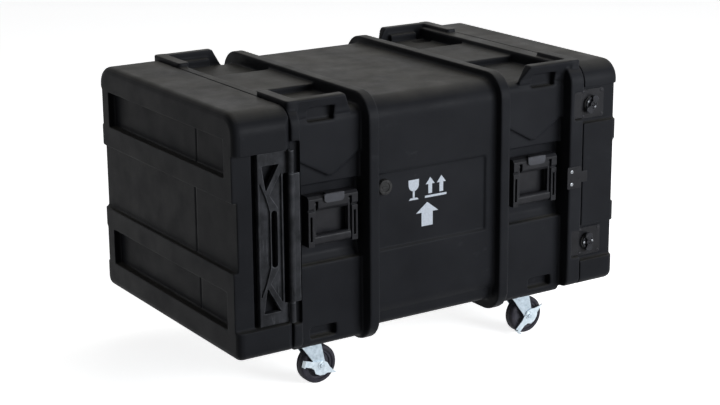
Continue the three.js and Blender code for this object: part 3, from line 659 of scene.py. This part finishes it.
fittings = [
    {"of": ("_hinge_bar", "_hinge_leaf"), "finish": barNylon, "slot": "nylon", "voxel": 0.9, "rounds": 3,
     "faces": 40000},
    {"of": ("_handle_plate",), "finish": handlePlastic, "slot": "handle", "voxel": 0.8, "rounds": 3,
     "faces": 26000},
    {"of": ("_handle_bail",), "finish": handlePlastic, "slot": "handle", "voxel": 0.7, "rounds": 3,
     "faces": 18000},
    {"of": ("_latch_base", "_keeper"), "finish": latchPlastic, "slot": "latch", "voxel": 0.7, "rounds": 2,
     "faces": 10000},
    {"of": ("guide_bracket",), "finish": latchPlastic, "slot": "steel", "voxel": 0.6, "rounds": 2,
     "faces": 8000},
    {"of": ("_caster_plate", "_caster_fork"), "finish": zinc, "slot": "zinc", "voxel": 0.8, "rounds": 2,
     "faces": 14000},
]
coarser = 1
for fitting in fittings:
    for node in named(*fitting["of"]):
        mouldedCopy(node, fitting["finish"], fitting["voxel"] * coarser * mm,
                    fitting["rounds"], fitting["faces"])
    print("rounded", ", ".join(fitting["of"]))


# twist latch, in millimetres; heights are measured outwards from the knob's base
latch = {"fromEdge": 26, "height": 9, "turn": {"lower": 0.04, "upper": -0.6},
         "discRadius": 16, "rimWide": 3, "rimHigh": 4, "dish": 2.6, "hubFoot": 9.4,
         "wingLength": 45, "wingWaist": 8, "wingEnd": 21, "endRound": 0.75, "wingLow": 2.2, "wingHigh": 8,
         "wingBevel": 1.3, "hubRadius": 7.5, "hubHigh": 8.9, "shaftRadius": 6, "shaftDeep": 16.3,
         "shaftLong": 16.8, "hookReach": 27, "hookHeel": 5, "hookHalf": 4, "hookThick": 4, "shadeRingOver": 2.6,
         "screwReach": 12, "screwHead": 2.7, "screwHigh": 3, "rivetHead": 3.2, "rivetHigh": 7.4,
         "plateScrews": (27, 28), "plateScrewHead": 3.6, "plateScrewDeep": 4}


# butterfly wings: narrow at the hub, wide and rounded at both ends
def wingOutline():
    waist, end = latch["wingWaist"] / 2, latch["wingEnd"] / 2
    tip = end * latch["endRound"]
    shoulder = latch["wingLength"] / 2 - tip
    upper = []
    for k in range(13):
        turn = math.pi * k / 12
        upper.append((end * math.cos(turn), shoulder + tip * math.sin(turn)))
    side = [(waist + (end - waist) * share ** 2, shoulder * share) for share in (0.0, 0.3, 0.6, 0.85)]
    right = [(x, -y) for x, y in reversed(side[1:])] + side
    left = [(-x, -y) for x, y in right]
    return right + upper + left + [(-x, -y) for x, y in upper]


def discProfile():
    radius, high, dish = latch["discRadius"], latch["rimHigh"], latch["dish"]
    rim, foot = radius - latch["rimWide"], latch["hubFoot"]
    return [(0, 0.4), (radius, 0.4), (radius, high - 0.8), (radius - 0.9, high), (rim, high), (rim - 0.6, dish),
            (foot, dish), (foot - 0.4, dish + 0.8), (0, dish + 0.8)]


def hubProfile():
    radius, high = latch["hubRadius"], latch["hubHigh"]
    return [(0, 2), (radius, 2), (radius, high - 0.7), (radius - 0.8, high), (radius - 3, high),
            (radius - 3.4, high - 0.9), (0, high - 0.9)]


def hookOutline():
    reach, heel, half = latch["hookReach"], latch["hookHeel"], latch["hookHalf"]
    turns = [math.pi * (k - 8) / 24 for k in range(17)]
    sweep = [(reach * math.cos(turn), reach * math.sin(turn)) for turn in turns]
    return sweep + [(-heel, half), (-heel, -half)]


def tube(radius, low, high):
    return [(0, low), (radius, low), (radius, high), (0, high)]


# which way a latch looks: the front lid's latches are on the far side, the rear lid's on the near side
def outwards(node):
    return Vector((0, 1 if node.startswith("front") else -1, 0))


for node in named("_latch_knob"):
    low, high = cornersOf(node)
    out = outwards(node)
    front = out.y > 0
    centre = Vector((0, 0, (low.z + high.z) / 2))
    inset = latch["fromEdge"] * mm
    centre.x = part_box("front_lid")[1][0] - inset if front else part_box("rear_lid")[0][0] + inset
    base = (high.y if front else -low.y) - latch["height"] * mm
    turn = latch["turn"]["lower" if "lower" in node else "upper"]
    place = facing(centre + out * base, out, turn)
    bm = bmesh.new()
    addLathe(bm, discProfile(), 48, place)
    addPrism(bm, wingOutline(), latch["wingLow"], latch["wingHigh"], place, latch["wingBevel"])
    addLathe(bm, hubProfile(), 36, place)
    inner = centre + out * (base - latch["shaftDeep"] * mm)
    addLathe(bm, tube(latch["shaftRadius"], 0, latch["shaftLong"]), 28, facing(inner, out))
    addPrism(bm, hookOutline(), 0, latch["hookThick"], axesAt(inner, (out.y, 0, 0), (0, 0, 1), out))
    fromBmesh(node + "_butterfly", bm, latchPlastic, bodyOf[node], (node,))
    # a thin dark ring of gasket rubber under the knob's disc: painted shade in the gap round the disc
    bm = bmesh.new()
    addLathe(bm, tube(latch["discRadius"] + latch["shadeRingOver"], -0.2, 0.5), 40, place)
    fromBmesh(node + "_painted_shade_ring", bm, gasketRubber, bodyOf[node])
    across = place.to_3x3() @ Vector((1, 0, 0)) * latch["screwReach"] * mm
    level = centre + out * (base + latch["screwHigh"] * mm)
    makeScrews(node + "_knob_screws", bodyOf[node],
               [(level + across * side, out, latch["screwHead"] * mm) for side in (-1, 1)])
    level = centre + out * (base + latch["rivetHigh"] * mm)
    makeScrews(node + "_centre_rivet", bodyOf[node], [(level, out, latch["rivetHead"] * mm)], darkSteel)

for node in named("_latch_base"):
    low, high = cornersOf(node)
    out = outwards(node)
    face = (high.y if out.y > 0 else -low.y) - latch["plateScrewDeep"] * mm
    middle = (low + high) / 2
    across, along = latch["plateScrews"]
    heads = [(Vector((middle.x + i * across * mm, 0, middle.z + k * along * mm)) + out * face, out,
              latch["plateScrewHead"] * mm) for i in (-1, 1) for k in (-1, 1)]
    makeScrews(node + "_screws", bodyOf[node], heads, darkSteel)
print("latches made")


# the bracket's outer face moves in a little, so that its screw heads stay inside the case's width
bracket = {"faceDeep": 1, "moveIn": 0.9, "screwDeep": 1.7, "screwAlong": 0.78, "screwApart": 15, "screwHead": 4}
low, high = cornersOf("lid_guide_bracket")
for vertex in bpy.data.objects["lid_guide_bracket_moulded"].data.vertices:
    if vertex.co.y < low.y + bracket["faceDeep"] * mm:
        vertex.co.y += bracket["moveIn"] * mm
screwX = high.x - (high.x - low.x) * bracket["screwAlong"]
screwY, screwZ = low.y + bracket["screwDeep"] * mm, (low.z + high.z) / 2
makeScrews("guide_bracket_screws", bodyOf["lid_guide_bracket"],
           [(Vector((screwX, screwY, screwZ + k * bracket["screwApart"] * mm)), (0, -1, 0),
             bracket["screwHead"] * mm) for k in (-1, 1)])

# the tab over the middle of each handle plate's top edge
handleTab = {"width": 50, "drop": 19, "thick": 1.6, "corner": 8, "below": 1, "bevel": 0.5}


def tabOutline():
    half, corner = handleTab["width"] / 2, handleTab["corner"]
    outline = [(half, 0), (-half, 0)]
    for side in (-1, 1):
        for k in range(7):
            turn = math.pi / 2 * (k if side > 0 else 6 - k) / 6
            x = half - corner + corner * math.sin(turn)
            outline.append((side * x, -handleTab["drop"] + corner - corner * math.cos(turn)))
    return outline


for node in named("_handle_plate"):
    low, high = cornersOf(node)
    out = Vector((0, -1 if "_left_" in node else 1, 0))
    face = low.y if out.y < 0 else high.y
    at = Vector(((low.x + high.x) / 2, face + out.y * handleTab["thick"] * mm, high.z - handleTab["below"] * mm))
    bm = bmesh.new()
    addPrism(bm, tabOutline(), -handleTab["thick"] * 2, 0, axesAt(at, (-out.y, 0, 0), (0, 0, 1), out),
             handleTab["bevel"])
    fromBmesh(node + "_tab", bm, tabPlastic, bodyOf[node])
print("screws and handle tabs set")


# layers are (height, radius, whether the ribs cut it), in millimetres from the outer face
valveKnob = {"ribs": 18, "groove": 1.3, "stemRadius": 7, "skirt": 9, "slotHalf": (8.2, 1.6), "slot": (0.3, 2),
             "layers": [(1.6, 0.0, False), (1.6, 9.5, False), (0.2, 10.4, False), (0.0, 13.2, False),
                        (0.7, 16.4, False), (1.6, 17.4, True), (7.4, 17.8, True), (9.0, 17.8, False)]}
low, high = cornersOf("pressure_valve_knob")
knobPlace = facing(Vector(((low.x + high.x) / 2, low.y, (low.z + high.z) / 2)), (0, 1, 0))
bm = bmesh.new()
rings = []
steps = valveKnob["ribs"] * 4
for height, radius, ribbed in valveKnob["layers"]:
    ring = []
    for k in range(steps):
        turn = 2 * math.pi * k / steps
        reach = radius - (valveKnob["groove"] if ribbed and k % 4 in (2, 3) else 0)
        x, y = reach * mm * math.cos(turn), reach * mm * math.sin(turn)
        ring.append(bm.verts.new(knobPlace @ Vector((x, y, height * mm))))
    rings.append(ring)
for lower, upper in zip(rings, rings[1:]):
    addBand(bm, lower, upper)
bmesh.ops.remove_doubles(bm, verts=bm.verts, dist=1e-6)
skirtRadius, stemEnd = (high.x - low.x) / 2 / mm - 1, (high.y - low.y) / mm
stemRadius, skirtHigh = valveKnob["stemRadius"], valveKnob["skirt"]
addLathe(bm, [(skirtRadius, skirtHigh), (stemRadius, skirtHigh), (stemRadius, stemEnd), (0, stemEnd)], 32,
         knobPlace)
wide, narrow = valveKnob["slotHalf"]
addPrism(bm, [(-wide, -narrow), (wide, -narrow), (wide, narrow), (-wide, narrow)], *valveKnob["slot"], knobPlace)
fromBmesh("valve_knob_ribbed", bm, gasketRubber, bodyOf["pressure_valve_knob"], ("pressure_valve_knob",))
print("valve knob made")


# printed marks on the label panel: a glass, two arrows over a bar, and one big arrow, in millimetres
marks = {"x": -15, "panelY": -297, "proud": 0.25, "thick": 0.4, "headShare": 0.42,
         "arrowLow": 338, "arrowHigh": 392, "arrowHalf": 30, "stemHalf": 15,
         "rowLow": 402, "rowHigh": 448, "pairShifts": (8, 38), "pairRise": 9, "pairHalf": 12, "pairStem": 5,
         "bar": (-6, 52), "barThick": 5, "glassShift": -36, "bowlHalf": 14, "bowlDeep": 16, "bowlLip": 10,
         "glassStem": 2.5, "footHalf": (13, 9), "footThick": 4.5}


def addFlat(bm, outline):
    front = marks["panelY"] - marks["proud"]
    layers = [[bm.verts.new((x * mm, y * mm, z * mm)) for x, z in outline] for y in (front, front + marks["thick"])]
    bm.faces.new(layers[0])
    bm.faces.new(list(reversed(layers[1])))
    addBand(bm, *layers)


def addBox(bm, left, right, low, high):
    addFlat(bm, [(left, low), (right, low), (right, high), (left, high)])


def addArrow(bm, x, low, high, half, stem):
    neck = high - (high - low) * marks["headShare"]
    addBox(bm, x - stem, x + stem, low, neck)
    addFlat(bm, [(x - half, neck), (x + half, neck), (x, high)])


def addGlass(bm, x, low, high):
    half, lip, stem = marks["bowlHalf"], high - marks["bowlLip"], marks["glassStem"]
    turns = [math.pi + math.pi * k / 14 for k in range(1, 14)]
    bowl = [(x + half * math.cos(turn), lip + marks["bowlDeep"] * math.sin(turn)) for turn in turns]
    addFlat(bm, [(x - half, high)] + bowl + [(x + half, high)])
    addBox(bm, x - stem, x + stem, low + 4, lip - marks["bowlDeep"] + 1)
    wide, narrow = marks["footHalf"]
    top = low + marks["footThick"]
    addFlat(bm, [(x - wide, low), (x + wide, low), (x + narrow, top), (x - narrow, top)])


bm = bmesh.new()
addArrow(bm, marks["x"], marks["arrowLow"], marks["arrowHigh"], marks["arrowHalf"], marks["stemHalf"])
rowLow, rowHigh = marks["rowLow"], marks["rowHigh"]
for shift in marks["pairShifts"]:
    addArrow(bm, marks["x"] + shift, rowLow + marks["pairRise"], rowHigh, marks["pairHalf"], marks["pairStem"])
left, right = marks["bar"]
addBox(bm, marks["x"] + left, marks["x"] + right, rowLow, rowLow + marks["barThick"])
addGlass(bm, marks["x"] + marks["glassShift"], rowLow, rowHigh)
fromBmesh("printed_handling_marks", bm, whiteInk, "case")
print("handling marks printed")


# wheels, in millimetres from the axle and from the wheel's middle plane
wheel = {"bore": 5.5, "hub": 9, "core": 31, "lip": 34, "round": 6, "shoulder": 1, "web": 7, "webFrom": 18,
         "webTo": 27, "grooveDeep": 0.7, "groove": (5.2, 4.8, 4.2, 3.8), "tyreSegments": 64,
         "coreSegments": 48}


def turnedBothSides(side, segments, place):
    bm = bmesh.new()
    addLathe(bm, side + [(radius, -along) for radius, along in reversed(side)] + [side[0]], segments, place)
    bmesh.ops.remove_doubles(bm, verts=bm.verts, dist=1e-6)
    return bm


def tyreSide(radius, half):
    core, lip, shoulder = wheel["core"], wheel["lip"], wheel["shoulder"]
    turns = [math.radians(angle) for angle in (80, 60, 40, 20, 0)]
    crown = [(radius - wheel["round"] * (1 - math.cos(turn)),
              half - wheel["round"] * (1 - math.sin(turn)) - shoulder) for turn in turns]
    start, inner, outer, end = wheel["groove"]
    sunk = radius - wheel["grooveDeep"]
    return [(core, half - 4), (lip, half - 3.2), (lip + 1, half - 1.2), (lip + 3, half - shoulder), *crown,
            (radius, start), (sunk, inner), (sunk, outer), (radius, end)]


def coreSide(half):
    hub, web = wheel["hub"], half - wheel["web"]
    return [(wheel["bore"], half), (hub, half), (hub + 1, half - 1), (hub + 2, half - 5.5),
            (wheel["webFrom"], web), (wheel["webTo"], web), (wheel["webTo"] + 2, half - 4),
            (wheel["core"] + 0.4, half - 3.6)]


for node in named("_wheel"):
    low, high = cornersOf(node)
    place = facing((low + high) / 2, (0, 1, 0))
    radius, half = (high.z - low.z) / 2 / mm, (high.y - low.y) / 2 / mm
    bm = turnedBothSides(tyreSide(radius, half), wheel["tyreSegments"], place)
    fromBmesh(node + "_tyre", bm, tyreRubber, bodyOf[node], (node,))
    bm = turnedBothSides(coreSide(half), wheel["coreSegments"], place)
    fromBmesh(node + "_core", bm, wheelCore, bodyOf[node])

# axle nuts and plate bolts, in millimetres
nut = {"radius": 8, "rise": 4.4, "washer": 10, "washerHigh": 1, "sunk": 0.1, "inFork": 0.2, "bevel": 0.8,
       "turn": 0.3}
bolt = {"radius": 5.5, "rise": 4, "washer": 6.5, "washerHigh": 0.8, "sunk": 0.1, "bevel": 0.6,
        "apart": (39, 24), "below": 2.9}


# a hexagon head on a round washer
def addHexHead(bm, sizes, top, place, headPlace, segments):
    addLathe(bm, tube(sizes["washer"], 0, sizes["washerHigh"]), segments, place)
    addPrism(bm, circle(sizes["radius"], 6), sizes["washerHigh"] - sizes["sunk"], top, headPlace, sizes["bevel"])


for node in named("_caster_fork"):
    low, high = cornersOf(node)
    hub = centreOf(node.replace("_caster_fork", "_wheel"))
    bm = bmesh.new()
    place = facing(Vector((hub.x, high.y - nut["inFork"] * mm, hub.z)), (0, 1, 0), nut["turn"])
    addHexHead(bm, nut, nut["washerHigh"] - nut["sunk"] + nut["rise"], place, place, 32)
    fromBmesh(node + "_axle_nut", bm, screwSteel, bodyOf[node])
    plate = node.replace("_fork", "_plate")
    crown, top = centreOf(plate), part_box(plate)[1][2]
    across, along = bolt["apart"]
    bm = bmesh.new()
    for i in (-1, 1):
        for k in (-1, 1):
            corner = Vector((crown.x + i * across * mm, crown.y + k * along * mm, top - bolt["below"] * mm))
            addHexHead(bm, bolt, bolt["rise"], facing(corner, (0, 0, -1)), facing(corner, (0, 0, -1), i + k), 24)
    fromBmesh(plate + "_bolts", bm, screwSteel, bodyOf[plate])

# fish-tailed brake levers: a folded pedal at one end, a lobe round the axle and a pointed tail;
# the outline is (along, up) from the axle, in millimetres
lever = {"thick": 2.2, "rim": 0.5, "rimShare": (0.99, 0.985),
         "outline": [(-49, 7), (-22, 6), (-9, 9), (4, 12), (15, 8), (24, -1), (34, -7), (45, -12), (32, -14),
                     (21, -15), (15, -20), (3, -23), (-9, -21), (-15, -12), (-25, -8), (-49, -8)],
         "pedalAt": -49, "pedalFrom": 1.4, "pedalDeep": 9, "pedalLean": 1.4, "pedalEdges": (7, -8),
         "boss": [(0, 0), (9, 0), (9, 3.2), (7.6, 4.2), (5, 4.2), (4.6, 3.4), (0, 3.4)]}


# the pedal end of the lever that the CAD has, seen from the axle, always towards -X
def pedalSide(node, hub):
    points = [vertex.co - hub for vertex in nodes[node].data.vertices]
    reaches = [Vector((point.x, 0, point.z)) for point in points]
    along = max(reaches, key=lambda reach: reach.length).normalized()
    return along if along.x < 0 else -along


for node in named("_brake_lever"):
    hub = centreOf(node.replace("_brake_lever", "_wheel"))
    away = -pedalSide(node, hub)
    up = Vector((-away.z, 0, away.x))
    up = up if up.z > 0 else -up
    at = Vector((hub.x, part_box(node)[1][1], hub.z))
    sheet = axesAt(at, away, up, (0, -1, 0))
    bm = bmesh.new()
    layers = []
    for height, shares in ((0, (1, 1)), (lever["thick"] - lever["rim"], (1, 1)), (lever["thick"], lever["rimShare"])):
        layers.append([bm.verts.new(sheet @ Vector((x * mm * shares[0], z * mm * shares[1], height * mm)))
                       for x, z in lever["outline"]])
    for first, second in zip(layers, layers[1:]):
        addBand(bm, first, second)
    for layer in (layers[0], layers[-1]):
        flat = bm.faces.new(layer)
        flat.normal_update()
        bmesh.ops.triangulate(bm, faces=[flat], ngon_method="EAR_CLIP")
    start, deep, lean = lever["pedalAt"], lever["pedalDeep"], lever["pedalLean"]
    fold = [(0, start), (0, start + lever["thick"]), (deep, start + lean + lever["thick"]), (deep, start + lean)]
    ends = [[bm.verts.new(sheet @ Vector((x * mm, z * mm, (lever["pedalFrom"] + height) * mm)))
             for height, x in fold] for z in lever["pedalEdges"]]
    bm.faces.new(ends[0])
    bm.faces.new(list(reversed(ends[1])))
    addBand(bm, *ends)
    addLathe(bm, lever["boss"], 36, axesAt(at, (1, 0, 0), (0, 0, 1), (0, -1, 0)))
    fromBmesh(node + "_fish_tail", bm, litLeverZinc, bodyOf[node], (node,))
print("casters made")


# the mounts are soft: each is a waisted bush between the case and the frame
bush = {"waist": 13.2, "flare": 16.6, "flareCurve": 2.2, "plate": 3.2, "edge": 0.4, "rings": 18, "segments": 40}


def bushProfile(radius, tall):
    plate, edge = bush["plate"], bush["edge"]
    profile = [(0, 0), (radius - edge, 0), (radius, edge), (radius, plate - edge), (radius - edge, plate)]
    for k in range(bush["rings"] + 1):
        share = k / bush["rings"]
        wave = abs(2 * share - 1) ** bush["flareCurve"]
        profile.append((bush["waist"] + (bush["flare"] - bush["waist"]) * wave, plate + (tall - 2 * plate) * share))
    return profile + [(radius - edge, tall - plate), (radius, tall - plate + edge), (radius, tall - edge),
                      (radius - edge, tall), (0, tall)]


for node in named("_shock_mount"):
    low, high = cornersOf(node)
    middle = (low + high) / 2
    profile = bushProfile((high.x - low.x) / 2 / mm, (high.z - low.z) / mm)
    bm = bmesh.new()
    addLathe(bm, profile, bush["segments"], Matrix.Translation((middle.x, middle.y, low.z)))
    name = node.replace("_shock_mount", "_rubber_bush")
    mount = fromBmesh(name, bm, mountRubber, None, (node,), smooth=50)
    ends = (low.z + bush["plate"] * mm, high.z - bush["plate"] * mm)
    start, end = ends if "_lower_" in node else reversed(ends)
    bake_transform(mount)
print("shock mounts turned")

# nodes that keep their shape and take a better finish, some with softened edges, in millimetres
carried = [
    {"of": "_gasket", "finish": gasketRubber, "edge": 0},
    {"of": "rack_frame", "finish": blackSteel, "edge": 0.6},
    {"of": "_rack_rail", "finish": railMetal, "edge": 0.6},
]
for kind in carried:
    for node in named(kind["of"]):
        nodes[node].data.materials.clear()
        nodes[node].data.materials.append(kind["finish"])
        if kind["edge"]:
            soft = nodes[node].modifiers.new("soft_edges", "BEVEL")
            soft.width = kind["edge"] * mm
            soft.segments = 2
            soft.limit_method = "ANGLE"
print("inner frame finished")
